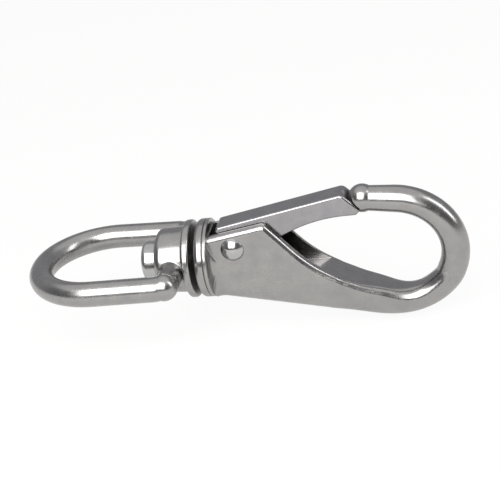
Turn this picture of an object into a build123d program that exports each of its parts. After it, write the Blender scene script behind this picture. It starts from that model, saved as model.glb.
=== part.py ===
"""Swivel-eye snap hook in cast stainless, with a sprung lever gate. Millimetres.

Origin: the point where a load bears inside the eye, on the swivel axis.
+X runs from the eye to the hook's bow, +Z points to the gate's side, and the bow lies in the XZ plane.
Stations are measured along X from the middle of the collar.
"""

import math
import os

from build123d import *

# Swivel eye
eye_wire = 5.0  # diameter of the loop's wire
eye_bow_radius = 13.25  # centre line of the loop's round end
eye_bow_back = 21.15  # from the collar to the centre of the round end
eye_lean = 1.77  # degrees each leg leans in towards the boss
eye_bar_back = 5.8  # from the collar to the cross bar
eye_bend_radius = 2.6  # centre line of the bend from leg to cross bar
eye_knuckle_radius = 2.7
eye_knuckle_back = 6.0
eye_knuckle_side = 12.25
boss_back = 9.35  # free end of the boss
boss_end_radius = 6.5
boss_root_radius = 6.8
boss_round = 1.5
flange_radius = 7.9
flange_thickness = 1.5
flange_back = 1.7  # bearing face of the flange

# Swivel pin
pin_radius = 2.2
pin_head_radius = 4.25
pin_head_side = 2.7  # straight side of the head
pin_head_height = 3.7
pin_tail_radius = 3.0
pin_tail_height = 0.55
pin_press_gap = 0.02  # peened pin in the collar
pin_running_gap = 0.06  # eye turning on the pin
pin_head_gap = 0.1  # end play under the head

# Collar
collar_back = 0.9
collar_front = 1.9
collar_radius = 7.95
collar_edge_radius = 6.9
collar_groove_at = 1.15
collar_groove_width = 0.3
collar_groove_depth = 0.3
flare_round = 2.2  # hollow rounding from the collar to the cheeks

# Shank
cheek_half_width = 4.6
cheek_round = 1.2
belly_round = 3.2
cheek_top_height = 5.75  # cheek's top line, carried back to the collar
cheek_top_rise = 0.18
cheek_peak_round = 1.6
throat_start_x = 18.4
throat_start_z = 2.6
throat_start_fall = 1.19
belly_height = 7.0  # underside, carried back to the collar
belly_fall = 0.2
belly_start_x = 4.2
shank_end_x = 26.7
shank_end_z = -4.3
shank_end_tilt = 20.0  # degrees
shank_end_slope = 0.56  # fall of the throat line where the bow begins

# Bow and nose
bow_wire = 5.6  # where it leaves the shank
bow_end_wire = 5.34  # where it turns to the nose
bow_x = 38.04
bow_z = -1.31
bow_half_length = 12.0
bow_half_height = 11.31
bow_start_angle = -25.0
bow_sections = 9  # between the shank's end and the round wire
bow_end_angle = 84.0
neck_radius = 2.45
nose_radius = 2.8
nose_reach = 6.3

# Slot and gate
slot_half_width = 3.0
slot_back = 2.2
slot_front = 27.0
slot_floor = -3.4
gate_side_gap = 0.2
gate_top_height = 6.7
gate_top_rise = 0.2
gate_back_gap = 1.3
gate_edge_round = 0.45
gate_corner_x = 29.3
gate_tip_x = 32.8
gate_tip_z = 9.0
gate_lip_x = 31.7
gate_lip_z = 8.1
gate_belly_start_x = 29.5
gate_belly_z = 8.05
gate_heel_x = 17.0
gate_heel_z = 4.8
gate_nose_gap = 0.28
gate_nose_swing = 14.0  # degrees over which the end stays clear of the nose
pocket_wall = 0.85
pocket_roof = 1.5
pocket_front = 15.0
pocket_back_wall = 0.75

# Gate rivet
rivet_x = 6.9
rivet_z = 3.4
rivet_radius = 1.5
rivet_head_radius = 2.35
rivet_head_height = 1.25
rivet_press_gap = 0.02
rivet_running_gap = 0.05
gate_root_radius = 3.4

# Gate spring
spring_wire = 0.8
spring_gap = 0.1  # between coil and rivet
spring_pitch = 0.85
spring_whole_turns = 3
spring_roof_angle = 16.0
spring_roof_leg = 7.0
spring_floor_leg = 8.0
spring_rest_gap = 0.05

# The collar's place from the load point in the eye
swivel_x = eye_bow_back + eye_bow_radius - eye_wire / 2

side = Plane(origin=(swivel_x, 0, 0), x_dir=(1, 0, 0), z_dir=(0, -1, 0))
flat = Plane(origin=(swivel_x, 0, 0), x_dir=(1, 0, 0), z_dir=(0, 0, 1))
swivel_axis = Axis((0, 0, 0), (1, 0, 0))


def space(x, z, y=0.0):
    """Place in the row frame of a station, height and side distance."""
    return Vector(swivel_x + x, y, z)


def bow_point(angle, out=0.0):
    """Point at an angle of the bow's centre line, moved out square to it."""
    turn = math.radians(angle)
    x = bow_x + bow_half_length * math.cos(turn)
    z = bow_z + bow_half_height * math.sin(turn)
    normal_x = bow_half_height * math.cos(turn)
    normal_z = bow_half_length * math.sin(turn)
    size = math.hypot(normal_x, normal_z)
    return (x + out * normal_x / size, z + out * normal_z / size)


def bow_direction(angle):
    """Direction of the bow's centre line, towards the nose."""
    turn = math.radians(angle)
    return Vector(-bow_half_length * math.sin(turn), 0, bow_half_height * math.cos(turn)).normalized()


def corner(sketch, x, y):
    """The sketch's vertex nearest to a point of its own plane."""
    return sketch.vertices().sort_by_distance((x, y, 0))[0]


def belly_z(x):
    """Height of the shank's underside."""
    return -belly_height - belly_fall * x


def build_swivel_eye():
    """Round-wire loop, closed by a cross bar that carries the boss and its flange."""
    lean = math.radians(eye_lean)
    tangent_x = -eye_bow_back + eye_bow_radius * math.sin(lean)
    tangent_y = eye_bow_radius * math.cos(lean)
    bend_x = -eye_bar_back - eye_bend_radius
    bend_y = tangent_y - (eye_bend_radius + math.sin(lean) * (bend_x - tangent_x)) / math.cos(lean)
    leg_x = bend_x + eye_bend_radius * math.sin(lean)
    leg_y = bend_y + eye_bend_radius * math.cos(lean)
    half = math.radians(45 - eye_lean / 2)
    middle_x = bend_x + eye_bend_radius * math.cos(half)
    middle_y = bend_y + eye_bend_radius * math.sin(half)
    bow_end = -eye_bow_back - eye_bow_radius
    with BuildPart() as swivel_eye:
        with BuildLine(flat) as path:
            Line((-eye_bar_back, 0), (-eye_bar_back, bend_y))
            ThreePointArc((-eye_bar_back, bend_y), (middle_x, middle_y), (leg_x, leg_y))
            Line((leg_x, leg_y), (tangent_x, tangent_y))
            ThreePointArc((tangent_x, tangent_y), (bow_end, 0), (tangent_x, -tangent_y))
            Line((tangent_x, -tangent_y), (leg_x, -leg_y))
            ThreePointArc((leg_x, -leg_y), (middle_x, -middle_y), (-eye_bar_back, -bend_y))
            Line((-eye_bar_back, -bend_y), (-eye_bar_back, 0))
        with BuildSketch(Plane(origin=space(-eye_bar_back, 0), x_dir=(1, 0, 0), z_dir=(0, 1, 0))):
            Circle(eye_wire / 2)
        sweep(path=path.wires()[0])
        with Locations(space(-eye_knuckle_back, 0, eye_knuckle_side), space(-eye_knuckle_back, 0, -eye_knuckle_side)):
            Sphere(eye_knuckle_radius)
        flange_top = flange_back + flange_thickness
        with BuildSketch(flat) as boss:
            with BuildLine():
                Polyline(
                    (-boss_back, 0),
                    (-boss_back, boss_end_radius),
                    (-flange_top, boss_root_radius),
                    (-flange_top, flange_radius),
                    (-flange_back, flange_radius),
                    (-flange_back, 0),
                    (-boss_back, 0),
                )
            make_face()
            fillet(corner(boss, -boss_back, boss_end_radius), boss_round)
            fillet(corner(boss, -flange_top, boss_root_radius), 0.4)
            fillet(corner(boss, -flange_top, flange_radius), 0.45)
            fillet(corner(boss, -flange_back, flange_radius), 0.5)
        revolve(axis=swivel_axis)
        with BuildSketch(Plane(origin=space(-boss_back - 1, 0), z_dir=(1, 0, 0))):
            Circle(pin_radius + pin_running_gap)
        extrude(amount=boss_back + 1, mode=Mode.SUBTRACT)
    swivel_eye.part.label = "swivel_eye"
    return swivel_eye.part


def build_swivel_pin():
    """Rivet the eye turns on: domed head inside the eye, tail peened behind the collar."""
    head_back = boss_back + pin_head_gap
    dome = pin_head_height - pin_head_side
    tail_start = slot_back - (pin_tail_radius - pin_radius)
    dome_radius = (pin_head_radius**2 + dome**2) / (2 * dome)
    half = math.asin(pin_head_radius / dome_radius) / 2
    dome_x = -head_back - pin_head_height + dome_radius * (1 - math.cos(half))
    dome_y = dome_radius * math.sin(half)
    tail_radius = pin_tail_radius - pin_press_gap
    cap_radius = (tail_radius**2 + pin_tail_height**2) / (2 * pin_tail_height)
    cap_half = math.asin(tail_radius / cap_radius) / 2
    cap_x = slot_back + pin_tail_height - cap_radius * (1 - math.cos(cap_half))
    with BuildPart() as swivel_pin:
        with BuildSketch(flat) as outline:
            with BuildLine():
                Polyline(
                    (-head_back - pin_head_height, 0),
                    (slot_back + pin_tail_height, 0),
                )
                ThreePointArc(
                    (slot_back + pin_tail_height, 0),
                    (cap_x, cap_radius * math.sin(cap_half)),
                    (slot_back, tail_radius),
                )
                Polyline(
                    (slot_back, tail_radius),
                    (tail_start, pin_radius),
                    (-head_back, pin_radius),
                    (-head_back, pin_head_radius),
                    (-head_back - pin_head_side, pin_head_radius),
                )
                ThreePointArc(
                    (-head_back - pin_head_side, pin_head_radius),
                    (dome_x, dome_y),
                    (-head_back - pin_head_height, 0),
                )
            make_face()
            fillet(corner(outline, -head_back - pin_head_side, pin_head_radius), 1.0)
            fillet(corner(outline, -head_back, pin_head_radius), 0.25)
        revolve(axis=swivel_axis)
    swivel_pin.part.label = "swivel_pin"
    return swivel_pin.part


def shank_outline_ends():
    """Inner and outer end of the cut where the straight shank hands over to the curved one."""
    tilt = math.radians(shank_end_tilt)
    down_x = -math.sin(tilt)
    down_z = -math.cos(tilt)
    reach = (belly_z(shank_end_x) - shank_end_z) / (down_z + belly_fall * down_x)
    return (shank_end_x, shank_end_z), (shank_end_x + reach * down_x, shank_end_z + reach * down_z)


def build_shank():
    """Slab between the cheeks' outer faces, with rounded edges."""
    inner, outer = shank_outline_ends()
    fall = throat_start_fall
    peak_x = (throat_start_z + fall * throat_start_x - cheek_top_height) / (cheek_top_rise + fall)
    peak_z = cheek_top_height + cheek_top_rise * peak_x
    left = collar_front
    with BuildPart() as shank:
        with BuildSketch(side.offset(-cheek_half_width)) as outline:
            with BuildLine():
                Line((left, -collar_radius - 0.05), (left, cheek_top_height + cheek_top_rise * left))
                Line((left, cheek_top_height + cheek_top_rise * left), (peak_x, peak_z))
                Line((peak_x, peak_z), (throat_start_x, throat_start_z))
                Spline(
                    (throat_start_x, throat_start_z),
                    (22.5, -1.5),
                    inner,
                    tangents=[(1, -fall), (1, -shank_end_slope)],
                )
                Line(inner, outer)
                Line(outer, (belly_start_x, belly_z(belly_start_x)))
                TangentArc(
                    (belly_start_x, belly_z(belly_start_x)),
                    (left, -collar_radius - 0.05),
                    tangent=(-1, belly_fall),
                )
            make_face()
            fillet(corner(outline, peak_x, peak_z), cheek_peak_round)
        extrude(amount=2 * cheek_half_width)
        middle = space((inner[0] + outer[0]) / 2, (inner[1] + outer[1]) / 2)
        rims = [
            edge
            for edge in shank.edges()
            if abs(abs(edge.center().Y) - cheek_half_width) < 0.01
            and edge.center().X > swivel_x + left + 0.01
            and math.hypot(edge.center().X - middle.X, edge.center().Z - middle.Z) > 0.1
        ]
        upper = [edge for edge in rims if edge.center().Z > -1 - 0.33 * (edge.center().X - swivel_x)]
        lower = [edge for edge in rims if edge.center().Z <= -1 - 0.33 * (edge.center().X - swivel_x)]
        fillet(upper, cheek_round)
        fillet(lower, belly_round)
    return shank.part


def rounded_section(inner, outer, half_width, inner_round, outer_round):
    """Face of a rounded section from an inner to an outer point of the side view."""
    length = math.hypot(inner[0] - outer[0], inner[1] - outer[1])
    up_x = (inner[0] - outer[0]) / length
    up_z = (inner[1] - outer[1]) / length
    middle = space((inner[0] + outer[0]) / 2, (inner[1] + outer[1]) / 2)
    plane = Plane(origin=middle, x_dir=(0, 1, 0), z_dir=(up_z, 0, -up_x))
    top = length / 2
    corners = [
        (-half_width + inner_round, top - inner_round, inner_round, -1, 1),
        (-half_width + outer_round, -top + outer_round, outer_round, -1, -1),
        (half_width - outer_round, -top + outer_round, outer_round, 1, -1),
        (half_width - inner_round, top - inner_round, inner_round, 1, 1),
    ]
    slant = math.sqrt(0.5)
    with BuildSketch(plane) as section:
        with BuildLine():
            last = (half_width - inner_round, top)
            for x, y, radius, right, up in corners:
                tall = (x, y + up * radius)
                wide = (x + right * radius, y)
                first, second = (tall, wide) if right * up < 0 else (wide, tall)
                Line(last, first)
                ThreePointArc(first, (x + right * slant * radius, y + up * slant * radius), second)
                last = second
        make_face()
    return section.sketch.face()


def build_lower_bow(shank):
    """Shank's curved end: its section goes smoothly from the slab's own end face to the wire's."""
    inner, outer = shank_outline_ends()
    middle = space((inner[0] + outer[0]) / 2, (inner[1] + outer[1]) / 2)
    wire = bow_wire / 2
    way = bow_direction(bow_start_angle)
    with BuildLine() as inner_line:
        Spline(
            inner,
            (31.1, -6.45),
            (35.6, -7.9),
            bow_point(-77, -wire - 0.6),
            bow_point(-52, -wire - 0.25),
            bow_point(bow_start_angle, -wire),
            tangents=[(1, -shank_end_slope), (way.X, way.Z)],
        )
    with BuildLine() as outer_line:
        Spline(
            outer,
            (29.6, belly_z(29.6)),
            bow_point(-102, wire - 0.95),
            bow_point(-77, wire - 0.8),
            bow_point(-52, wire - 0.4),
            bow_point(bow_start_angle, wire),
            tangents=[(1, -belly_fall), (way.X, way.Z)],
        )
    sections = [shank.faces().sort_by_distance(middle)[0]]
    for step in range(1, bow_sections + 1):
        share = step / bow_sections
        eased = share * share * (3 - 2 * share)
        top = inner_line.wires()[0] @ share
        bottom = outer_line.wires()[0] @ share
        half_width = cheek_half_width + (wire - cheek_half_width) * eased
        inner_round = cheek_round + (wire - 0.03 - cheek_round) * eased
        outer_round = belly_round + (wire - 0.03 - belly_round) * eased
        sections.append(rounded_section((top.X, top.Y), (bottom.X, bottom.Y), half_width, inner_round, outer_round))
    with BuildPart() as lower_bow:
        loft(sections=sections)
    return lower_bow.part


def build_hook_body():
    """Collar, slotted shank, round bow and ball nose in one casting."""
    neck_start = bow_point(bow_end_angle)
    neck_direction = bow_direction(bow_end_angle)
    nose = space(*neck_start) + neck_direction * nose_reach
    groove_low = collar_groove_at - collar_groove_width / 2
    groove_high = collar_groove_at + collar_groove_width / 2
    shank = build_shank()
    lower_bow = build_lower_bow(shank)
    with BuildPart() as hook_body:
        add(shank)
        add(lower_bow)
        with BuildLine(side) as path:
            EllipticalCenterArc(
                center=(bow_x, bow_z),
                x_radius=bow_half_length,
                y_radius=bow_half_height,
                start_angle=bow_start_angle,
                arc_size=bow_end_angle - bow_start_angle,
            )
        with BuildSketch(
            Plane(origin=space(*bow_point(bow_start_angle)), x_dir=(0, 1, 0), z_dir=bow_direction(bow_start_angle))
        ):
            Circle(bow_wire / 2)
        with BuildSketch(
            Plane(origin=space(*bow_point(bow_end_angle)), x_dir=(0, 1, 0), z_dir=bow_direction(bow_end_angle))
        ):
            Circle(bow_end_wire / 2)
        sweep(path=path.wires()[0], multisection=True)
        with Locations(Plane(origin=space(*neck_start), x_dir=(0, 1, 0), z_dir=neck_direction)):
            Cone(bow_end_wire / 2, neck_radius, nose_reach, align=(Align.CENTER, Align.CENTER, Align.MIN))
        with Locations(nose):
            Sphere(nose_radius)
        with BuildSketch(flat):
            with BuildLine():
                Line((-collar_back, 0), (-collar_back, collar_edge_radius))
                ThreePointArc(
                    (-collar_back, collar_edge_radius),
                    (-collar_back + 0.35, collar_radius - 0.35),
                    (0.2, collar_radius),
                )
                Polyline(
                    (0.2, collar_radius),
                    (groove_low, collar_radius),
                    (collar_groove_at, collar_radius - collar_groove_depth),
                    (groove_high, collar_radius),
                    (collar_front - 0.15, collar_radius),
                    (collar_front, collar_radius - 0.15),
                    (collar_front, 0),
                    (-collar_back, 0),
                )
            make_face()
        revolve(axis=swivel_axis)
        flare_top = cheek_half_width + flare_round
        flare_x = collar_front + flare_round
        with BuildSketch(flat):
            with BuildLine():
                Line((collar_front - 0.2, 0), (collar_front - 0.2, flare_top))
                Line((collar_front - 0.2, flare_top), (collar_front, flare_top))
                ThreePointArc(
                    (collar_front, flare_top),
                    (flare_x - flare_round * math.sqrt(0.5), flare_top - flare_round * math.sqrt(0.5)),
                    (flare_x, cheek_half_width),
                )
                Line((flare_x, cheek_half_width), (flare_x, 0))
                Line((flare_x, 0), (collar_front - 0.2, 0))
            make_face()
        revolve(axis=swivel_axis)
        with BuildSketch(side):
            with Locations(((slot_back + slot_front) / 2, slot_floor + 10)):
                Rectangle(slot_front - slot_back, 20)
        extrude(amount=slot_half_width, both=True, mode=Mode.SUBTRACT)
        with BuildSketch(side):
            with Locations((rivet_x, rivet_z)):
                Circle(rivet_radius + rivet_press_gap)
        extrude(amount=cheek_half_width + 2, both=True, mode=Mode.SUBTRACT)
        sink = pin_tail_radius - pin_radius
        with BuildSketch(flat):
            with BuildLine():
                Polyline(
                    (-collar_back - 1, 0),
                    (-collar_back - 1, pin_radius + pin_press_gap),
                    (slot_back - sink, pin_radius + pin_press_gap),
                    (slot_back, pin_tail_radius),
                    (slot_back + 0.5, pin_tail_radius),
                    (slot_back + 0.5, 0),
                    (-collar_back - 1, 0),
                )
            make_face()
        revolve(axis=swivel_axis, mode=Mode.SUBTRACT)
    hook_body.part.label = "hook_body"
    return hook_body.part


def build_gate():
    """Lever between the cheeks: rounded root on the rivet, slanted end with a seat for the nose."""
    half = slot_half_width - gate_side_gap
    back = slot_back + gate_back_gap
    reach = math.hypot(gate_heel_x - rivet_x, gate_heel_z - rivet_z)
    rise = math.atan2(gate_heel_z - rivet_z, gate_heel_x - rivet_x) + math.asin(gate_root_radius / reach)
    root_x = rivet_x + gate_root_radius * math.sin(rise)
    root_z = rivet_z - gate_root_radius * math.cos(rise)
    turn = (rise - math.pi / 2 - math.pi) / 2
    under_x = rivet_x + gate_root_radius * math.cos(turn)
    under_z = rivet_z + gate_root_radius * math.sin(turn)
    back_x = rivet_x - gate_root_radius
    back_z = gate_top_height + gate_top_rise * back_x
    corner_z = gate_top_height + gate_top_rise * gate_corner_x
    nose = space(*bow_point(bow_end_angle)) + bow_direction(bow_end_angle) * nose_reach
    roof_back = gate_top_height - pocket_roof + gate_top_rise * (back + pocket_back_wall)
    roof_front = gate_top_height - pocket_roof + gate_top_rise * pocket_front
    with BuildPart() as gate:
        with BuildSketch(side) as outline:
            with BuildLine():
                Line((back_x, rivet_z), (back_x, back_z))
                Line((back_x, back_z), (gate_corner_x, corner_z))
                Line((gate_corner_x, corner_z), (gate_tip_x, gate_tip_z))
                Line((gate_tip_x, gate_tip_z), (gate_lip_x, gate_lip_z))
                Line((gate_lip_x, gate_lip_z), (gate_belly_start_x, gate_belly_z))
                TangentArc(
                    (gate_heel_x, gate_heel_z),
                    (gate_belly_start_x, gate_belly_z),
                    tangent=(math.cos(rise), math.sin(rise)),
                )
                Line((gate_heel_x, gate_heel_z), (root_x, root_z))
                ThreePointArc((root_x, root_z), (under_x, under_z), (back_x, rivet_z))
            make_face()
            fillet(corner(outline, back_x, back_z), 0.9)
            fillet(corner(outline, gate_corner_x, corner_z), 1.4)
            fillet(corner(outline, gate_tip_x, gate_tip_z), 0.6)
            fillet(corner(outline, gate_lip_x, gate_lip_z), 0.6)
        extrude(amount=half, both=True)
        fillet([edge for edge in gate.edges() if abs(abs(edge.center().Y) - half) < 0.01], gate_edge_round)
        with BuildSketch(side):
            with BuildLine():
                Polyline(
                    (back + pocket_back_wall, roof_back),
                    (back + pocket_back_wall, -5),
                    (pocket_front, -5),
                    (pocket_front, roof_front),
                    (back + pocket_back_wall, roof_back),
                )
            make_face()
        extrude(amount=half - pocket_wall, both=True, mode=Mode.SUBTRACT)
        with BuildSketch(side):
            with Locations((rivet_x, rivet_z)):
                Circle(rivet_radius + rivet_running_gap)
        extrude(amount=half + 1, both=True, mode=Mode.SUBTRACT)
        with Locations(nose):
            Sphere(nose_radius + gate_nose_gap, mode=Mode.SUBTRACT)
        hinge = space(rivet_x, rivet_z)
        with BuildSketch(Plane(origin=nose, x_dir=(0, 1, 0), z_dir=(nose - hinge).cross(Vector(0, 1, 0)))):
            Circle(nose_radius + gate_nose_gap - 0.05)
        revolve(axis=Axis(hinge, (0, -1, 0)), revolution_arc=gate_nose_swing, mode=Mode.SUBTRACT)
    gate.part.label = "gate"
    return gate.part


def build_gate_rivet():
    """Rivet through both cheeks and the gate, with a low domed head at each end."""
    cap_radius = (rivet_head_radius**2 + rivet_head_height**2) / (2 * rivet_head_height)
    half = math.asin(rivet_head_radius / cap_radius) / 2
    cap_y = cheek_half_width + rivet_head_height - cap_radius * (1 - math.cos(half))
    cap_r = cap_radius * math.sin(half)
    plane = Plane(origin=space(rivet_x, rivet_z), x_dir=(1, 0, 0), z_dir=(0, 0, 1))
    top = cheek_half_width + rivet_head_height
    with BuildPart() as gate_rivet:
        with BuildSketch(plane):
            with BuildLine():
                Line((0, -top), (0, top))
                ThreePointArc((0, top), (cap_r, cap_y), (rivet_head_radius, cheek_half_width))
                Polyline(
                    (rivet_head_radius, cheek_half_width),
                    (rivet_radius, cheek_half_width),
                    (rivet_radius, -cheek_half_width),
                    (rivet_head_radius, -cheek_half_width),
                )
                ThreePointArc((rivet_head_radius, -cheek_half_width), (cap_r, -cap_y), (0, -top))
            make_face()
        revolve(axis=Axis(space(rivet_x, rivet_z), (0, 1, 0)))
    gate_rivet.part.label = "gate_rivet"
    return gate_rivet.part


def build_gate_spring():
    """Torsion spring round the rivet: one leg under the gate's roof, one on the slot's floor."""
    radius = rivet_radius + spring_gap + spring_wire / 2
    wire = spring_wire / 2
    roof_angle = math.radians(spring_roof_angle)
    fall = math.asin((rivet_z - radius - slot_floor - wire - spring_rest_gap) / spring_floor_leg)
    start = math.pi / 2 + roof_angle
    sweep_angle = math.pi - roof_angle - fall + 2 * math.pi * spring_whole_turns
    height = spring_pitch * sweep_angle / (2 * math.pi)
    steps = spring_whole_turns * 12 + 4
    coil = []
    for step in range(steps + 1):
        turn = start + sweep_angle * step / steps
        side_y = height / 2 - height * step / steps
        coil.append(space(rivet_x + radius * math.cos(turn), rivet_z + radius * math.sin(turn), side_y))
    roof_way = Vector(math.cos(roof_angle), 0, math.sin(roof_angle))
    floor_way = Vector(math.cos(fall), 0, -math.sin(fall))
    roof_leg = [coil[0] + roof_way * (spring_roof_leg * share) for share in (1.0, 0.6, 0.3)]
    floor_leg = [coil[-1] + floor_way * (spring_floor_leg * share) for share in (0.3, 0.6, 1.0)]
    with BuildPart() as gate_spring:
        with BuildLine() as path:
            Spline(*roof_leg, *coil, *floor_leg, tangents=[-roof_way, floor_way])
        with BuildSketch(Plane(origin=roof_leg[0], z_dir=-roof_way)):
            Circle(wire)
        sweep(path=path.wires()[0])
    gate_spring.part.label = "gate_spring"
    return gate_spring.part


def main():
    """Build every piece and write it out."""
    os.makedirs("parts", exist_ok=True)
    export_step(build_swivel_eye(), "parts/swivel_eye.step")
    export_step(build_swivel_pin(), "parts/swivel_pin.step")
    export_step(build_hook_body(), "parts/hook_body.step")
    export_step(build_gate(), "parts/gate.step")
    export_step(build_gate_rivet(), "parts/gate_rivet.step")
    export_step(build_gate_spring(), "parts/gate_spring.step")


main()
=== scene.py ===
"""Finishes and studio for a swivel eye snap hook, laid out as an add-on and run as a script."""

import math

import bpy
from mathutils import Matrix, Vector


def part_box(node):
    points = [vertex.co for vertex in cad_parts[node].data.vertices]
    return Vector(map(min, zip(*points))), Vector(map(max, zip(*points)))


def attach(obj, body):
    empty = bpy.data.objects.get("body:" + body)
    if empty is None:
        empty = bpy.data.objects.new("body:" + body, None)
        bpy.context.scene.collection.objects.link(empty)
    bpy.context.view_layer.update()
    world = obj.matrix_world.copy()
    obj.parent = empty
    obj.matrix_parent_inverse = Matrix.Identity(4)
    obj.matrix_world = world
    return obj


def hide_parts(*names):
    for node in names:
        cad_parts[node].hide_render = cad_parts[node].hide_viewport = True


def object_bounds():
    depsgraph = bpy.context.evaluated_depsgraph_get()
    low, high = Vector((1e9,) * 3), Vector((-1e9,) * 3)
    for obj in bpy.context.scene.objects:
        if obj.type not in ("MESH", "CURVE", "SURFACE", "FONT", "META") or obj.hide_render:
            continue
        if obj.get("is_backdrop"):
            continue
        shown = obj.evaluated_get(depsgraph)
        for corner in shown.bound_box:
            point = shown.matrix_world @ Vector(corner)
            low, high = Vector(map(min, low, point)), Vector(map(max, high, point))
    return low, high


bl_info = {
    "name": "Swivel Eye Snap Hook",
    "version": (1, 0, 0),
    "blender": (4, 5, 0),
    "location": "3D View > Sidebar > Snap Hook",
    "description": "Gives a cast swivel eye snap hook its steel finishes and a plain studio",
    "category": "Object",
}

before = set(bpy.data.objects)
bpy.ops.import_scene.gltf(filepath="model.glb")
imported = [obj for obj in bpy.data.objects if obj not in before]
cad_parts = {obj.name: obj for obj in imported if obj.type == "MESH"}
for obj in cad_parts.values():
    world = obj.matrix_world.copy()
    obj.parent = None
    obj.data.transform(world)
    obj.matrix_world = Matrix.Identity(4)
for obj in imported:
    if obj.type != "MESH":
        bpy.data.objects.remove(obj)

FINISH_NAMES = {
    "hook_body": "Hook Body Steel",
    "gate": "Gate Steel",
    "gate_rivet": "Rivet Steel",
    "gate_spring": "Spring Wire",
    "swivel_eye": "Eye Steel",
    "swivel_pin": "Swivel Pin Steel",
}
# Depths in millimetres of each finish's shallow waves, its fine peel and its pits
RELIEF = {
    "hook_body": {"Wave Depth": 0.07, "Peel Depth": 0.0011, "Pit Depth": 0.007},
    "gate": {"Wave Depth": 0.02, "Peel Depth": 0.0006, "Pit Depth": 0.003},
    "gate_rivet": {"Wave Depth": 0.02, "Peel Depth": 0.0016, "Pit Depth": 0.007},
    "gate_spring": {"Wave Depth": 0.01, "Peel Depth": 0.001, "Pit Depth": 0.003},
    "swivel_eye": {"Wave Depth": 0.06, "Peel Depth": 0.0009, "Pit Depth": 0.006},
    "swivel_pin": {"Wave Depth": 0.05, "Peel Depth": 0.0016, "Pit Depth": 0.007},
}
# Metres between fine scratches
SCRATCH_SPACING = {
    "hook_body": 0.0006,
    "gate": 0.0004,
    "gate_rivet": 0.0005,
    "gate_spring": 0.0003,
    "swivel_eye": 0.0006,
    "swivel_pin": 0.0005,
}
EYE_ROUGHER = 0.02  # the eye is polished a little less than the body
WIRE_ROUGHER = 0.06  # drawn wire isn't polished

MILLIMETRE = 0.001
COOL_TINT = (0.90, 0.905, 0.925)  # share of each colour left where the metal is duller
BRIGHT_SHARE = 1.04  # where it is brighter
# Painted highlight: softened edges take a brighter colour than the metal has
EDGE_HIGHLIGHT_SHARE = 1.25  # on softened edges
PIT_GRIME = 0.55
# share of painted shade in corners and narrow gaps, from ambient occlusion
CORNER_SHADE = 0.85
MOTTLE_POLISH = (-0.03, 0.05)  # change of roughness over the mottling
SMUDGE_ROUGHNESS = 0.04
SCRATCH_ROUGHNESS = 0.05
EDGE_POLISH = 0.04
GRIME_ROUGHNESS = 0.35

# Each pair of numbers is where an effect starts to show, and where it is whole
EDGE_RANGE = (0.995, 0.90)  # cosine between the rounded normal and the flat one
PIT_RANGE = (0.16, 0.05)  # distance from a pit's middle, in cells
PITTED_RANGE = (0.60, 0.68)  # mottling, so that pits come in few places
MOTTLE_RANGE = (0.34, 0.66)
SCRATCH_RANGE = (0.62, 0.74)
SMUDGE_RANGE = (0.42, 0.68)
CORNER_RANGE = (0.62, 0.18)  # share of the surroundings that is open

MOTTLE_FINER = 3.0  # mottles to one wave
PIT_COARSER = 0.7  # pit cells to one peel mark
SCRATCH_LEAN = 0.2
SCRATCH_WAYS = ((0.35, 0.05), (-0.8, 0.08))  # turn of each set of scratches, and its stretch
SMUDGE_SCALE = 140.0  # smudges to the metre
EDGE_SAMPLES = 8
CORNER_SAMPLES = 6

COIL_STEPS = 32  # points in one turn of the spring
WIRE_SIDES = 20

OVERHEAD_PLACE = (0.0, -0.36, 0.30)
OVERHEAD_SIZE = (0.42, 0.42)
SIDE_PLACE = (0.42, -0.02, 0.22)
SIDE_SIZE = (0.10, 0.30)
WALL_SIDES = 64
WALL_BOTTOM = -0.15
WALL_DARK = (0.05, 0.05, 0.05, 1.0)
WALL_GREY = (0.42, 0.42, 0.44, 1.0)
WALL_GREY_FROM = 0.2  # share of its radius, past the middle, where the wall is wholly grey
PAPER = (0.88, 0.87, 0.85, 1.0)
PAPER_LIFT = 0.92  # share of plain white that the camera sees on the floor
PAPER_MIRROR_LIFT = 0.30  # and that metal mirrors
AMBIENT_LEVEL = 0.35
WHITE = (1.0, 1.0, 1.0, 1.0)


# ---------------------------------------------------------------- settings


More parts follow.
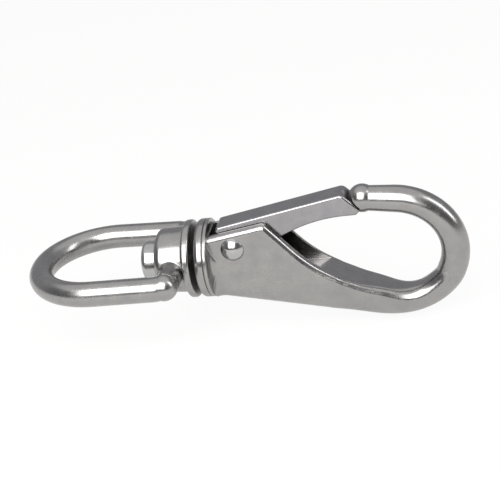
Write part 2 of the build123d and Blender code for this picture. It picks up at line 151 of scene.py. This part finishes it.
class SteelSettings(bpy.types.PropertyGroup):
    """Colours and surface of the stainless pieces."""

    cast_colour: bpy.props.FloatVectorProperty(
        name="Cast colour",
        description="Colour of the polished castings",
        subtype="COLOR",
        size=3,
        min=0,
        max=1,
        default=(0.335, 0.327, 0.320),
    )
    gate_colour: bpy.props.FloatVectorProperty(
        name="Gate colour",
        description="Colour of the machined gate",
        subtype="COLOR",
        size=3,
        min=0,
        max=1,
        default=(0.320, 0.313, 0.320),
    )
    fastener_colour: bpy.props.FloatVectorProperty(
        name="Fastener colour",
        description="Colour of the rivet and the swivel pin",
        subtype="COLOR",
        size=3,
        min=0,
        max=1,
        default=(0.43, 0.43, 0.425),
    )
    wire_colour: bpy.props.FloatVectorProperty(
        name="Spring wire colour",
        description="Colour of the drawn spring wire",
        subtype="COLOR",
        size=3,
        min=0,
        max=1,
        default=(0.30, 0.298, 0.295),
    )
    # Colour of the dirt in pits, and also of the painted shade in corners and gaps
    dirt_and_shade_colour: bpy.props.FloatVectorProperty(
        name="Pit dirt and painted shade colour",
        description="Colour of the dirt in pits and of the shade painted in corners",
        subtype="COLOR",
        size=3,
        min=0,
        max=1,
        default=(0.10, 0.095, 0.088),
    )
    cast_roughness: bpy.props.FloatProperty(
        name="Cast roughness",
        description="Roughness of the tumbled castings",
        min=0,
        max=1,
        default=0.21,
    )
    gate_roughness: bpy.props.FloatProperty(
        name="Gate roughness",
        description="Roughness of the gate's flat sides",
        min=0,
        max=1,
        default=0.20,
    )
    fastener_roughness: bpy.props.FloatProperty(
        name="Fastener roughness",
        description="Roughness of the rivet and the swivel pin",
        min=0,
        max=1,
        default=0.16,
    )
    edge_round: bpy.props.FloatProperty(
        name="Edge round",
        description="Width over which tumbling has softened a sharp edge",
        unit="LENGTH",
        min=0,
        default=0.00022,
    )
    wave_size: bpy.props.FloatProperty(
        name="Wave size",
        description="Size of the shallow waves that hand polishing leaves",
        unit="LENGTH",
        min=0.0005,
        default=0.009,
    )
    peel_size: bpy.props.FloatProperty(
        name="Peel size",
        description="Size of the fine cast texture under the polish",
        unit="LENGTH",
        min=0.0001,
        default=0.0016,
    )
    spring_wire: bpy.props.FloatProperty(
        name="Spring wire",
        description="Diameter of the gate spring's wire",
        unit="LENGTH",
        min=0.0003,
        default=0.0008,
    )
    spring_gap: bpy.props.FloatProperty(
        name="Spring gap",
        description="Room between the coil and the rivet",
        unit="LENGTH",
        min=0,
        default=0.0001,
    )
    spring_pitch: bpy.props.FloatProperty(
        name="Spring pitch",
        description="Step of the coil in one turn",
        unit="LENGTH",
        min=0.0003,
        default=0.00085,
    )
    spring_turns: bpy.props.IntProperty(
        name="Spring turns",
        description="Whole turns of the coil",
        min=1,
        default=3,
    )
    rivet_shank: bpy.props.FloatProperty(
        name="Rivet shank",
        description="Radius of the rivet's shank inside the coil",
        unit="LENGTH",
        default=0.0015,
    )
    roof_leg: bpy.props.FloatProperty(
        name="Roof leg",
        description="Length of the leg under the gate's roof",
        unit="LENGTH",
        default=0.007,
    )
    roof_angle: bpy.props.FloatProperty(
        name="Roof angle",
        description="Rise of the leg under the gate's roof",
        subtype="ANGLE",
        default=math.radians(16.0),
    )
    floor_leg: bpy.props.FloatProperty(
        name="Floor leg",
        description="Length of the leg on the slot's floor",
        unit="LENGTH",
        default=0.008,
    )
    floor_angle: bpy.props.FloatProperty(
        name="Floor angle",
        description="Fall of the leg on the slot's floor",
        subtype="ANGLE",
        default=math.radians(32.94),
    )


class StudioSettings(bpy.types.PropertyGroup):
    """Camera, floor and lamps."""

    azimuth: bpy.props.FloatProperty(
        name="Azimuth",
        description="Turn of the camera about the upright axis",
        subtype="ANGLE",
        default=math.radians(12.75),
    )
    elevation: bpy.props.FloatProperty(
        name="Elevation",
        description="Height of the camera as an angle",
        subtype="ANGLE",
        default=math.radians(25.07),
    )
    roll: bpy.props.FloatProperty(
        name="Roll",
        description="Lean of the camera about its own line of sight",
        subtype="ANGLE",
        default=math.radians(9.28),
    )
    distance: bpy.props.FloatProperty(
        name="Distance",
        description="Distance from the camera to the point that it faces",
        unit="LENGTH",
        default=0.24774,
    )
    lens: bpy.props.FloatProperty(
        name="Lens",
        description="Focal length in millimetres on a 36 mm sensor",
        default=88.94,
    )
    aim_along: bpy.props.FloatProperty(
        name="Aim along",
        description="Place of the point faced, along the swivel axis from the eye's bearing point",
        unit="LENGTH",
        default=0.04131,
    )
    aim_up: bpy.props.FloatProperty(
        name="Aim up",
        description="Height of the point faced, above the swivel axis",
        unit="LENGTH",
        default=0.00097,
    )
    floor_clearance: bpy.props.FloatProperty(
        name="Floor clearance",
        description="Room under the lowest place that the turning eye or the bow reaches",
        unit="LENGTH",
        default=0.0002,
    )
    floor_size: bpy.props.FloatProperty(
        name="Floor size",
        description="Side of the square floor",
        unit="LENGTH",
        default=6.0,
    )
    wall_radius: bpy.props.FloatProperty(
        name="Wall radius",
        description="Radius of the grey wall of the light tent",
        unit="LENGTH",
        default=0.6,
    )
    wall_height: bpy.props.FloatProperty(
        name="Wall height",
        description="Height of the grey wall of the light tent",
        unit="LENGTH",
        default=0.62,
    )
    key_power: bpy.props.FloatProperty(
        name="Overhead softbox",
        description="Power of the softbox above and in front, in watts",
        default=3.4,
    )
    fill_power: bpy.props.FloatProperty(
        name="Side softbox",
        description="Power of the softbox at the bow's side, in watts",
        default=0.5,
    )


def steel_settings():
    """The steel's settings in this scene."""
    return bpy.context.scene.snap_hook_steel


def studio_settings():
    """The studio's settings in this scene."""
    return bpy.context.scene.snap_hook_studio


# ---------------------------------------------------------------- node helpers


def add_node(tree, kind, values=None, **settings):
    """A node with its settings, and its inputs set to numbers or linked to other sockets."""
    made = tree.nodes.new(kind)
    for key, value in settings.items():
        setattr(made, key, value)
    for key, value in (values or {}).items():
        if isinstance(value, bpy.types.NodeSocket):
            tree.links.new(value, made.inputs[key])
        else:
            made.inputs[key].default_value = value
    return made


def arithmetic(tree, operation, first, second=0.0, clamp=False):
    """Output of a Math node."""
    made = add_node(tree, "ShaderNodeMath", {0: first, 1: second}, operation=operation, use_clamp=clamp)
    return made.outputs["Value"]


def remap(tree, value, low, high, to_low=0.0, to_high=1.0):
    """A value's range from low to high, spread over to_low to to_high and clamped."""
    made = add_node(
        tree,
        "ShaderNodeMapRange",
        {"Value": value, "From Min": low, "From Max": high, "To Min": to_low, "To Max": to_high},
    )
    return made.outputs["Result"]


def blend_colour(tree, share, first, second):
    """Colour from first to second by share."""
    made = add_node(tree, "ShaderNodeMix", {"Factor": share}, data_type="RGBA")
    for socket, value in ((made.inputs[6], first), (made.inputs[7], second)):
        if isinstance(value, bpy.types.NodeSocket):
            tree.links.new(value, socket)
        else:
            socket.default_value = value
    return made.outputs[2]


def noise(tree, vector, scale, detail=2.0, roughness=0.5):
    """Factor of a noise texture, scale being how many features fit into a metre."""
    made = add_node(
        tree,
        "ShaderNodeTexNoise",
        {"Vector": vector, "Scale": scale, "Detail": detail, "Roughness": roughness},
    )
    return made.outputs[0]


def shader_group(name, inputs, outputs):
    """An empty shader node group with named sockets: its tree, its input node and its output node."""
    tree = bpy.data.node_groups.new(name, "ShaderNodeTree")
    for socket_name, kind, default in inputs:
        socket = tree.interface.new_socket(name=socket_name, in_out="INPUT", socket_type=kind)
        if default is not None:
            socket.default_value = default
    for socket_name, kind in outputs:
        tree.interface.new_socket(name=socket_name, in_out="OUTPUT", socket_type=kind)
    return tree, tree.nodes.new("NodeGroupInput"), tree.nodes.new("NodeGroupOutput")


# ---------------------------------------------------------------- shared surface effects


def edge_group():
    """Softened edges: a rounded normal, and a mask of where it differs from the flat one."""
    name = "Softened Edges"
    if name in bpy.data.node_groups:
        return bpy.data.node_groups[name]
    tree, given, out = shader_group(
        name,
        [("Radius", "NodeSocketFloat", 0.0002)],
        [("Normal", "NodeSocketVector"), ("Mask", "NodeSocketFloat")],
    )
    rounded = add_node(tree, "ShaderNodeBevel", {"Radius": given.outputs["Radius"]}, samples=EDGE_SAMPLES)
    surface = tree.nodes.new("ShaderNodeNewGeometry")
    alike = add_node(
        tree,
        "ShaderNodeVectorMath",
        {0: rounded.outputs["Normal"], 1: surface.outputs["Normal"]},
        operation="DOT_PRODUCT",
    )
    mask = remap(tree, alike.outputs["Value"], *EDGE_RANGE)
    tree.links.new(rounded.outputs["Normal"], out.inputs["Normal"])
    tree.links.new(mask, out.inputs["Mask"])
    return tree


def cast_group():
    """Hand polished casting: shallow waves, fine peel and a few pits, with a mask of mottling."""
    name = "Polished Casting"
    if name in bpy.data.node_groups:
        return bpy.data.node_groups[name]
    tree, given, out = shader_group(
        name,
        [
            ("Vector", "NodeSocketVector", None),
            ("Wave Size", "NodeSocketFloat", 0.009),
            ("Peel Size", "NodeSocketFloat", 0.0009),
            ("Wave Depth", "NodeSocketFloat", 0.06),
            ("Peel Depth", "NodeSocketFloat", 0.002),
            ("Pit Depth", "NodeSocketFloat", 0.006),
        ],
        [("Height", "NodeSocketFloat"), ("Mottle", "NodeSocketFloat"), ("Pits", "NodeSocketFloat")],
    )
    vector = given.outputs["Vector"]
    wave_scale = arithmetic(tree, "DIVIDE", 1.0, given.outputs["Wave Size"])
    peel_scale = arithmetic(tree, "DIVIDE", 1.0, given.outputs["Peel Size"])
    waves = noise(tree, vector, wave_scale, detail=1.0)
    peel = noise(tree, vector, peel_scale, detail=0.5)
    mottle_scale = arithmetic(tree, "MULTIPLY", wave_scale, MOTTLE_FINER)
    mottle = noise(tree, vector, mottle_scale, detail=5.0, roughness=0.62)
    cells = add_node(
        tree,
        "ShaderNodeTexVoronoi",
        {"Vector": vector, "Scale": arithmetic(tree, "MULTIPLY", peel_scale, PIT_COARSER)},
    )
    near_pit = remap(tree, cells.outputs["Distance"], *PIT_RANGE)
    few = remap(tree, mottle, *PITTED_RANGE)
    pits = arithmetic(tree, "MULTIPLY", near_pit, few)
    height = arithmetic(tree, "MULTIPLY", waves, given.outputs["Wave Depth"])
    height = arithmetic(tree, "ADD", height, arithmetic(tree, "MULTIPLY", peel, given.outputs["Peel Depth"]))
    sunk = arithmetic(tree, "MULTIPLY", pits, given.outputs["Pit Depth"])
    tree.links.new(arithmetic(tree, "SUBTRACT", height, sunk), out.inputs["Height"])
    tree.links.new(remap(tree, mottle, *MOTTLE_RANGE), out.inputs["Mottle"])
    tree.links.new(pits, out.inputs["Pits"])
    return tree


def scratch_group():
    """Fine handling scratches along two directions, and soft smudges."""
    name = "Handling Marks"
    if name in bpy.data.node_groups:
        return bpy.data.node_groups[name]
    tree, given, out = shader_group(
        name,
        [("Vector", "NodeSocketVector", None), ("Spacing", "NodeSocketFloat", 0.0005)],
        [("Scratches", "NodeSocketFloat"), ("Smudges", "NodeSocketFloat")],
    )
    fine = arithmetic(tree, "DIVIDE", 1.0, given.outputs["Spacing"])
    lines = []
    for turn, stretch in SCRATCH_WAYS:
        turned = add_node(
            tree,
            "ShaderNodeMapping",
            {
                "Vector": given.outputs["Vector"],
                "Rotation": (SCRATCH_LEAN, turn, turn),
                "Scale": (stretch, 1.0, 1.0),
            },
        )
        streaks = noise(tree, turned.outputs["Vector"], fine, detail=2.0)
        lines.append(remap(tree, streaks, *SCRATCH_RANGE))
    scratches = arithmetic(tree, "MAXIMUM", lines[0], lines[1])
    cloud = noise(tree, given.outputs["Vector"], SMUDGE_SCALE, detail=3.0)
    smudges = remap(tree, cloud, *SMUDGE_RANGE)
    tree.links.new(scratches, out.inputs["Scratches"])
    tree.links.new(smudges, out.inputs["Smudges"])
    return tree


def corner_group():
    """Occlusion mask of inner corners and narrow gaps: it darkens the colour there with painted shade, and
    roughens the polish where the wheel doesn't reach.
    """
    name = "Unpolished Corners"
    if name in bpy.data.node_groups:
        return bpy.data.node_groups[name]
    tree, given, out = shader_group(
        name,
        [("Reach", "NodeSocketFloat", 0.0015)],
        [("Mask", "NodeSocketFloat")],
    )
    shaded = add_node(
        tree,
        "ShaderNodeAmbientOcclusion",
        {"Distance": given.outputs["Reach"]},
        samples=CORNER_SAMPLES,
    )
    tree.links.new(remap(tree, shaded.outputs["AO"], *CORNER_RANGE), out.inputs["Mask"])
    return tree


def rgba(colour, share=1.0):
    """A colour times share, with a full alpha."""
    return (colour[0] * share, colour[1] * share, colour[2] * share, 1.0)


def surface_groups(tree, node_name):
    """The shared effects placed in a finish: softened edges, casting, handling marks and corners."""
    s = steel_settings()
    place = tree.nodes.new("ShaderNodeTexCoord").outputs["Object"]
    edges = add_node(tree, "ShaderNodeGroup", {"Radius": s.edge_round}, node_tree=edge_group())
    cast = add_node(
        tree,
        "ShaderNodeGroup",
        {"Vector": place, "Wave Size": s.wave_size, "Peel Size": s.peel_size, **RELIEF[node_name]},
        node_tree=cast_group(),
    )
    marks = add_node(
        tree,
        "ShaderNodeGroup",
        {"Vector": place, "Spacing": SCRATCH_SPACING[node_name]},
        node_tree=scratch_group(),
    )
    corners = add_node(tree, "ShaderNodeGroup", node_tree=corner_group())
    return edges.outputs, cast.outputs, marks.outputs, corners.outputs


def steel(node_name, colour, roughness):
    """A stainless finish: polished metal with waves, peel, pits and marks, a painted highlight on softened
    edges, and painted shade with rougher polish in corners.
    """
    material = bpy.data.materials.new(FINISH_NAMES[node_name])
    material.use_nodes = True
    tree = material.node_tree
    tree.nodes.clear()
    edges, cast, marks, corners = surface_groups(tree, node_name)

    cool = tuple(part * share for part, share in zip(colour, COOL_TINT))
    ground = blend_colour(tree, cast["Mottle"], rgba(cool), rgba(colour, BRIGHT_SHARE))
    # Painted highlight: the colour is brightened along softened edges
    edge_highlighted = blend_colour(tree, edges["Mask"], ground, rgba(colour, EDGE_HIGHLIGHT_SHARE))
    pits = arithmetic(tree, "MULTIPLY", cast["Pits"], PIT_GRIME)
    # Painted shade: corners and gaps darken by ambient occlusion; the pits' darkening is dirt
    pit_dirt_and_corner_shade = arithmetic(tree, "MAXIMUM", pits, arithmetic(tree, "MULTIPLY", corners["Mask"], CORNER_SHADE))
    coloured = blend_colour(tree, pit_dirt_and_corner_shade, edge_highlighted, rgba(steel_settings().dirt_and_shade_colour))

    smoothest, roughest = (roughness + change for change in MOTTLE_POLISH)
    rough = remap(tree, cast["Mottle"], 0.0, 1.0, smoothest, roughest)
    for operation, mask, share in (
        ("ADD", marks["Smudges"], SMUDGE_ROUGHNESS),
        ("ADD", marks["Scratches"], SCRATCH_ROUGHNESS),
        ("SUBTRACT", edges["Mask"], EDGE_POLISH),
    ):
        rough = arithmetic(tree, operation, rough, arithmetic(tree, "MULTIPLY", mask, share))
    rough = arithmetic(tree, "ADD", rough, arithmetic(tree, "MULTIPLY", pit_dirt_and_corner_shade, GRIME_ROUGHNESS), clamp=True)

    bump = add_node(
        tree,
        "ShaderNodeBump",
        {"Strength": 1.0, "Distance": MILLIMETRE, "Height": cast["Height"], "Normal": edges["Normal"]},
    )
    surface = add_node(
        tree,
        "ShaderNodeBsdfPrincipled",
        {"Base Color": coloured, "Metallic": 1.0, "Roughness": rough, "Normal": bump.outputs["Normal"]},
    )
    out = tree.nodes.new("ShaderNodeOutputMaterial")
    tree.links.new(surface.outputs["BSDF"], out.inputs["Surface"])
    return material


def dress(node_name, material):
    """Puts a finish on a piece of the frame."""
    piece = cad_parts[node_name]
    if not piece.material_slots:
        raise RuntimeError(f"{node_name} has no material slot to dress")
    for slot in piece.material_slots:
        slot.material = material


# ---------------------------------------------------------------- operators: the pieces


class SNAPHOOK_OT_hook_body(bpy.types.Operator):
    """Finish the cast body: collar, cheeks, shank, bow and ball nose."""

    bl_idname = "snaphook.hook_body"
    bl_label = "Hook Body"

    def execute(self, context):
        s = steel_settings()
        dress("hook_body", steel("hook_body", s.cast_colour, s.cast_roughness))
        return {"FINISHED"}


class SNAPHOOK_OT_gate(bpy.types.Operator):
    """Finish the flat sided gate."""

    bl_idname = "snaphook.gate"
    bl_label = "Gate"

    def execute(self, context):
        s = steel_settings()
        dress("gate", steel("gate", s.gate_colour, s.gate_roughness))
        return {"FINISHED"}


class SNAPHOOK_OT_fasteners(bpy.types.Operator):
    """Finish the gate's rivet and the swivel pin."""

    bl_idname = "snaphook.fasteners"
    bl_label = "Rivet and Swivel Pin"

    def execute(self, context):
        s = steel_settings()
        for node_name in ("gate_rivet", "swivel_pin"):
            dress(node_name, steel(node_name, s.fastener_colour, s.fastener_roughness))
        return {"FINISHED"}


def coil_curve(tree, given):
    """Curve of the coil, wound round the world's Y axis through its centre."""
    coil = add_node(
        tree,
        "GeometryNodeCurveSpiral",
        {
            "Resolution": COIL_STEPS,
            "Rotations": given["Turns"],
            "Start Radius": given["Coil Radius"],
            "End Radius": given["Coil Radius"],
            "Height": given["Coil Height"],
        },
    )
    begin = add_node(tree, "ShaderNodeCombineXYZ", {"Z": given["Start Angle"]})
    turned = add_node(
        tree,
        "GeometryNodeTransform",
        {"Geometry": coil.outputs["Curve"], "Rotation": begin.outputs["Vector"]},
    )
    laid = add_node(
        tree,
        "GeometryNodeTransform",
        {
            "Geometry": turned.outputs["Geometry"],
            "Translation": given["Centre"],
            "Rotation": (math.pi / 2, 0.0, 0.0),
        },
    )
    return laid.outputs["Geometry"]


WIRE_INPUTS = (
    ("Wire Radius", "NodeSocketFloat"),
    ("Leg Start", "NodeSocketVector"),
    ("Leg Way", "NodeSocketVector"),
    ("Leg Length", "NodeSocketFloat"),
    ("Material", "NodeSocketMaterial"),
)
COIL_INPUTS = (
    ("Coil Radius", "NodeSocketFloat"),
    ("Turns", "NodeSocketFloat"),
    ("Coil Height", "NodeSocketFloat"),
    ("Start Angle", "NodeSocketFloat"),
    ("Centre", "NodeSocketVector"),
)


def spring_tree(name, coiled):
    """Node tree of a straight leg of wire, with or without the coil that it leaves."""
    tree = bpy.data.node_groups.new(name, "GeometryNodeTree")
    for socket_name, kind in WIRE_INPUTS + (COIL_INPUTS if coiled else ()):
        tree.interface.new_socket(name=socket_name, in_out="INPUT", socket_type=kind)
    tree.interface.new_socket(name="Geometry", in_out="OUTPUT", socket_type="NodeSocketGeometry")
    given = tree.nodes.new("NodeGroupInput").outputs
    leg = add_node(
        tree,
        "GeometryNodeCurvePrimitiveLine",
        {"Start": given["Leg Start"], "Direction": given["Leg Way"], "Length": given["Leg Length"]},
        mode="DIRECTION",
    )
    joined = add_node(tree, "GeometryNodeJoinGeometry", {"Geometry": leg.outputs["Curve"]})
    if coiled:
        tree.links.new(coil_curve(tree, given), joined.inputs["Geometry"])
    section = add_node(
        tree,
        "GeometryNodeCurvePrimitiveCircle",
        {"Resolution": WIRE_SIDES, "Radius": given["Wire Radius"]},
    )
    tube = add_node(
        tree,
        "GeometryNodeCurveToMesh",
        {
            "Curve": joined.outputs["Geometry"],
            "Profile Curve": section.outputs["Curve"],
            "Fill Caps": True,
        },
    )
    smooth = add_node(tree, "GeometryNodeSetShadeSmooth", {"Geometry": tube.outputs["Mesh"]})
    real = add_node(tree, "GeometryNodeRealizeInstances", {"Geometry": smooth.outputs["Geometry"]})
    dressed = add_node(
        tree,
        "GeometryNodeSetMaterial",
        {"Geometry": real.outputs["Geometry"], "Material": given["Material"]},
    )
    out = tree.nodes.new("NodeGroupOutput")
    tree.links.new(dressed.outputs["Geometry"], out.inputs["Geometry"])
    return tree


def grown(name, tree, values):
    """Plain mesh object that a node tree makes from its named inputs."""
    seed = bpy.data.objects.new(name + "_seed", bpy.data.meshes.new(name + "_seed"))
    bpy.context.scene.collection.objects.link(seed)
    modifier = seed.modifiers.new("Grow", "NODES")
    modifier.node_group = tree
    for item in tree.interface.items_tree:
        if item.in_out == "INPUT":
            modifier[item.identifier] = values[item.name]
    evaluated = seed.evaluated_get(bpy.context.evaluated_depsgraph_get())
    mesh = bpy.data.meshes.new_from_object(evaluated)
    mesh.name = name
    bpy.data.objects.remove(seed)
    made = bpy.data.objects.new(name, mesh)
    bpy.context.scene.collection.objects.link(made)
    return made


class SNAPHOOK_OT_spring(bpy.types.Operator):
    """Wind the gate's spring round the rivet."""

    bl_idname = "snaphook.spring"
    bl_label = "Gate Spring"

    def execute(self, context):
        s = steel_settings()
        finish = steel("gate_spring", s.wire_colour, s.gate_roughness + WIRE_ROUGHER)
        low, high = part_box("gate_rivet")
        axis = (Vector(low) + Vector(high)) / 2
        radius = s.rivet_shank + s.spring_gap + s.spring_wire / 2
        start = math.pi / 2 + s.roof_angle
        sweep = math.pi - s.roof_angle - s.floor_angle + 2 * math.pi * s.spring_turns
        end = start + sweep
        height = s.spring_pitch * sweep / (2 * math.pi)
        side = Vector((0.0, height / 2, 0.0))
        wire = {"Wire Radius": s.spring_wire / 2, "Material": finish}
        coil = {
            "Coil Radius": radius,
            "Turns": sweep / (2 * math.pi),
            "Coil Height": height,
            "Start Angle": start,
            "Centre": axis + side,
            "Leg Start": axis - side + Vector((math.cos(end), 0.0, math.sin(end))) * radius,
            "Leg Way": Vector((math.cos(s.floor_angle), 0.0, -math.sin(s.floor_angle))),
            "Leg Length": s.floor_leg,
        }
        roof_leg = {
            "Leg Start": axis + side + Vector((math.cos(start), 0.0, math.sin(start))) * radius,
            "Leg Way": Vector((math.cos(s.roof_angle), 0.0, math.sin(s.roof_angle))),
            "Leg Length": s.roof_leg,
        }
        wound = grown("gate_spring_coil", spring_tree("Torsion Spring", True), {**wire, **coil})
        pushed = grown("gate_spring_roof_leg", spring_tree("Spring Leg", False), {**wire, **roof_leg})
        for piece, body in ((wound, "hook"), (pushed, "lever")):
            if len(piece.data.polygons) == 0:
                raise RuntimeError(f"the node tree made no faces for {piece.name}")
            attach(piece, body)
        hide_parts("gate_spring")
        return {"FINISHED"}


class SNAPHOOK_OT_eye(bpy.types.Operator):
    """Finish the cast swivel eye with its boss and flange."""

    bl_idname = "snaphook.eye"
    bl_label = "Swivel Eye"

    def execute(self, context):
        s = steel_settings()
        dress("swivel_eye", steel("swivel_eye", s.cast_colour, s.cast_roughness + EYE_ROUGHER))
        return {"FINISHED"}


# ---------------------------------------------------------------- the studio


def lowest_reach():
    """Lowest height that the object reaches, with the eye turned any way round."""
    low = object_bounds()[0]
    eye_low, eye_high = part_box("swivel_eye")
    return min(low[2], eye_low[1], -eye_high[1])


def stage_mesh(name, vertices, faces, material):
    """A mesh that belongs to the studio."""
    mesh = bpy.data.meshes.new(name)
    mesh.from_pydata(vertices, [], faces)
    mesh.update()
    mesh.materials.append(material)
    made = bpy.data.objects.new(name, mesh)
    bpy.context.scene.collection.objects.link(made)
    made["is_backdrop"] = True
    return made


def floor_material():
    """Plain white floor, lifted towards paper white for the camera, that keeps a soft shadow."""
    material = bpy.data.materials.new("Studio Floor")
    material.use_nodes = True
    tree = material.node_tree
    tree.nodes.clear()
    paper = add_node(tree, "ShaderNodeBsdfDiffuse", {"Color": PAPER})
    glow = add_node(tree, "ShaderNodeEmission", {"Color": WHITE, "Strength": 1.0})
    seen = tree.nodes.new("ShaderNodeLightPath")
    direct = arithmetic(tree, "MULTIPLY", seen.outputs["Is Camera Ray"], PAPER_LIFT)
    mirrored = arithmetic(tree, "MULTIPLY", seen.outputs["Is Glossy Ray"], PAPER_MIRROR_LIFT)
    through = arithmetic(tree, "MULTIPLY", seen.outputs["Is Transmission Ray"], PAPER_LIFT)
    share = arithmetic(tree, "MAXIMUM", arithmetic(tree, "MAXIMUM", direct, mirrored), through)
    mixed = add_node(
        tree, "ShaderNodeMixShader", {0: share, 1: paper.outputs["BSDF"], 2: glow.outputs["Emission"]}
    )
    out = tree.nodes.new("ShaderNodeOutputMaterial")
    tree.links.new(mixed.outputs["Shader"], out.inputs["Surface"])
    return material


def wall_material(radius):
    """Grey wall of the light tent, dark on the camera's side."""
    material = bpy.data.materials.new("Tent Wall")
    material.use_nodes = True
    tree = material.node_tree
    tree.nodes.clear()
    place = tree.nodes.new("ShaderNodeTexCoord").outputs["Object"]
    parts = add_node(tree, "ShaderNodeSeparateXYZ", {0: place})
    rearward = remap(tree, parts.outputs["Y"], -radius, radius * WALL_GREY_FROM)
    shade = blend_colour(tree, rearward, WALL_DARK, WALL_GREY)
    glow = add_node(tree, "ShaderNodeEmission", {"Color": shade, "Strength": 1.0})
    out = tree.nodes.new("ShaderNodeOutputMaterial")
    tree.links.new(glow.outputs["Emission"], out.inputs["Surface"])
    return material


def build_floor(s):
    """Level floor just under the lowest place that the object reaches."""
    height = lowest_reach() - s.floor_clearance
    half = s.floor_size / 2
    corners = [(half * a, half * b, height) for a, b in ((-1, -1), (1, -1), (1, 1), (-1, 1))]
    stage_mesh("floor", corners, [(0, 1, 2, 3)], floor_material())


def build_wall(s):
    """Round wall of the light tent, seen only in reflections."""
    sides = WALL_SIDES
    ring = [
        (
            s.aim_along + s.wall_radius * math.cos(2 * math.pi * i / sides),
            s.wall_radius * math.sin(2 * math.pi * i / sides),
        )
        for i in range(sides)
    ]
    vertices = [(x, y, WALL_BOTTOM) for x, y in ring] + [(x, y, s.wall_height) for x, y in ring]
    faces = [(i, sides + i, sides + (i + 1) % sides, (i + 1) % sides) for i in range(sides)]
    wall = stage_mesh("tent_wall", vertices, faces, wall_material(s.wall_radius))
    wall.visible_camera = False
    wall.visible_diffuse = False
    wall.visible_shadow = False
    wall.visible_transmission = False


def build_lamp(name, place, aim, size, power):
    """A softbox that faces a point."""
    lamp = bpy.data.lights.new(name, "AREA")
    lamp.shape = "RECTANGLE"
    lamp.size, lamp.size_y = size
    lamp.energy = power
    made = bpy.data.objects.new(name, lamp)
    bpy.context.scene.collection.objects.link(made)
    away = (Vector(place) - Vector(aim)).normalized()
    made.matrix_world = Matrix.Translation(place) @ away.to_track_quat("Z", "Y").to_matrix().to_4x4()
    made.visible_camera = False
    return made


def build_world():
    """White to the camera, to glossy and to transmission rays, and a plain level of light for the rest."""
    world = bpy.data.worlds.new("Studio")
    bpy.context.scene.world = world
    world.use_nodes = True
    tree = world.node_tree
    tree.nodes.clear()
    seen = tree.nodes.new("ShaderNodeLightPath")
    sight = arithmetic(tree, "MAXIMUM", seen.outputs["Is Camera Ray"], seen.outputs["Is Glossy Ray"])
    sight = arithmetic(tree, "MAXIMUM", sight, seen.outputs["Is Transmission Ray"])
    level = remap(tree, sight, 0.0, 1.0, AMBIENT_LEVEL, 1.0)
    back = add_node(tree, "ShaderNodeBackground", {"Color": WHITE, "Strength": level})
    out = tree.nodes.new("ShaderNodeOutputWorld")
    tree.links.new(back.outputs["Background"], out.inputs["Surface"])


def build_camera(s):
    """Camera on its sphere round the point faced, rolled about its line of sight."""
    a, e = s.azimuth, s.elevation
    right = Vector((math.cos(a), math.sin(a), 0.0))
    up = Vector((-math.sin(a) * math.sin(e), math.cos(a) * math.sin(e), math.cos(e)))
    back = Vector((math.sin(a) * math.cos(e), -math.cos(a) * math.cos(e), math.sin(e)))
    image_right = right * math.cos(s.roll) - up * math.sin(s.roll)
    image_up = right * math.sin(s.roll) + up * math.cos(s.roll)
    turn = Matrix((image_right, image_up, back)).transposed().to_4x4()
    place = Vector((s.aim_along, 0.0, s.aim_up)) + back * s.distance
    camera = bpy.data.cameras.new("Camera")
    camera.sensor_width = 36.0
    camera.lens = s.lens
    camera.clip_start = 0.005
    camera.dof.use_dof = False
    made = bpy.data.objects.new("Camera", camera)
    bpy.context.scene.collection.objects.link(made)
    made.matrix_world = Matrix.Translation(place) @ turn
    bpy.context.scene.camera = made


class SNAPHOOK_OT_stage(bpy.types.Operator):
    """Set up the floor, light tent, softboxes, world and camera."""

    bl_idname = "snaphook.stage"
    bl_label = "Studio"

    def execute(self, context):
        s = studio_settings()
        build_floor(s)
        build_wall(s)
        middle = (s.aim_along, 0.0, 0.0)
        build_lamp("overhead_softbox", OVERHEAD_PLACE, middle, OVERHEAD_SIZE, s.key_power)
        build_lamp("side_softbox", SIDE_PLACE, middle, SIDE_SIZE, s.fill_power)
        build_world()
        build_camera(s)
        context.scene.view_settings.view_transform = "Standard"
        return {"FINISHED"}


class SNAPHOOK_PT_panel(bpy.types.Panel):
    """Lists the pieces and the studio."""

    bl_idname = "SNAPHOOK_PT_panel"
    bl_label = "Snap Hook"
    bl_space_type = "VIEW_3D"
    bl_region_type = "UI"
    bl_category = "Snap Hook"

    def draw(self, context):
        for operator in OPERATORS:
            self.layout.operator(operator.bl_idname)


SETTINGS = (SteelSettings, StudioSettings)
OPERATORS = (
    SNAPHOOK_OT_hook_body,
    SNAPHOOK_OT_gate,
    SNAPHOOK_OT_fasteners,
    SNAPHOOK_OT_spring,
    SNAPHOOK_OT_eye,
    SNAPHOOK_OT_stage,
)


def register():
    """Add the settings, the operators and the panel."""
    for cls in (*SETTINGS, *OPERATORS, SNAPHOOK_PT_panel):
        bpy.utils.register_class(cls)
    bpy.types.Scene.snap_hook_steel = bpy.props.PointerProperty(type=SteelSettings)
    bpy.types.Scene.snap_hook_studio = bpy.props.PointerProperty(type=StudioSettings)


def unregister():
    """Take away what register added."""
    del bpy.types.Scene.snap_hook_studio
    del bpy.types.Scene.snap_hook_steel
    for cls in reversed((*SETTINGS, *OPERATORS, SNAPHOOK_PT_panel)):
        bpy.utils.unregister_class(cls)


def main():
    """Build the pieces and the stage."""
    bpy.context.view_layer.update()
    register()
    bpy.ops.snaphook.hook_body()
    bpy.ops.snaphook.gate()
    bpy.ops.snaphook.fasteners()
    bpy.ops.snaphook.spring()
    bpy.ops.snaphook.eye()
    bpy.ops.snaphook.stage()


if __name__ == "__main__":
    main()
